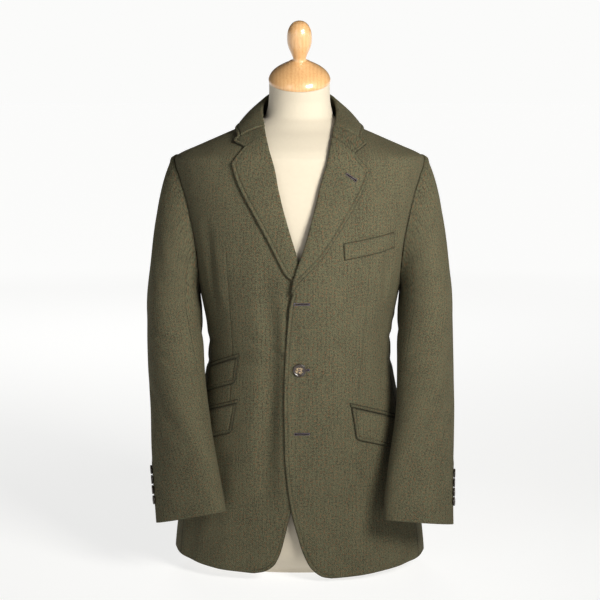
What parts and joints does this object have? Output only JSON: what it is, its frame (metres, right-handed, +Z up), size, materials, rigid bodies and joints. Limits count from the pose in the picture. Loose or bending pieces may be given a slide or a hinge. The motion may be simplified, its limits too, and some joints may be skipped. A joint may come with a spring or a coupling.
{
  "type": "tweed hacking jacket on a dress form",
  "caption": "Single-breasted tweed riding jacket with notched lapels, slanted flap pockets and a back vent, worn buttoned by a limbless dress form with a turned wooden neck cap.",
  "frame": {"origin": "middle of the box round the whole part, on the plane that the form's flat foot stands on", "axes": "+Z up; the jacket's front faces -Y; the wearer's left side is +X"},
  "size_m": [0.5466, 0.3058, 0.9782],
  "materials": {
    "tweed": "matt herringbone wool tweed",
    "horn": "polished mottled horn",
    "jersey": "matt stretched cotton jersey",
    "beech": "clear varnished beech"
  },
  "bodies": {
    "root": {"front_left": "tweed", "front_right": "tweed", "side_left": "tweed", "side_right": "tweed", "back_left": "tweed", "back_right": "tweed", "lapel_left": "tweed", "lapel_right": "tweed", "collar": "tweed", "sleeve_top_left": "tweed", "sleeve_top_right": "tweed", "sleeve_under_left": "tweed", "sleeve_under_right": "tweed", "flap_hip_left": "tweed", "flap_hip_right": "tweed", "flap_ticket_right": "tweed", "jet_hip_left": "tweed", "jet_hip_right": "tweed", "jet_ticket_right": "tweed", "welt_breast_left": "tweed", "button_front": "horn", "button_cuff_left_1": "horn", "button_cuff_left_2": "horn", "button_cuff_left_3": "horn", "button_cuff_left_4": "horn", "button_cuff_right_1": "horn", "button_cuff_right_2": "horn", "button_cuff_right_3": "horn", "button_cuff_right_4": "horn", "form_body": "jersey", "form_cap": "beech"}
  },
  "joints": []
}
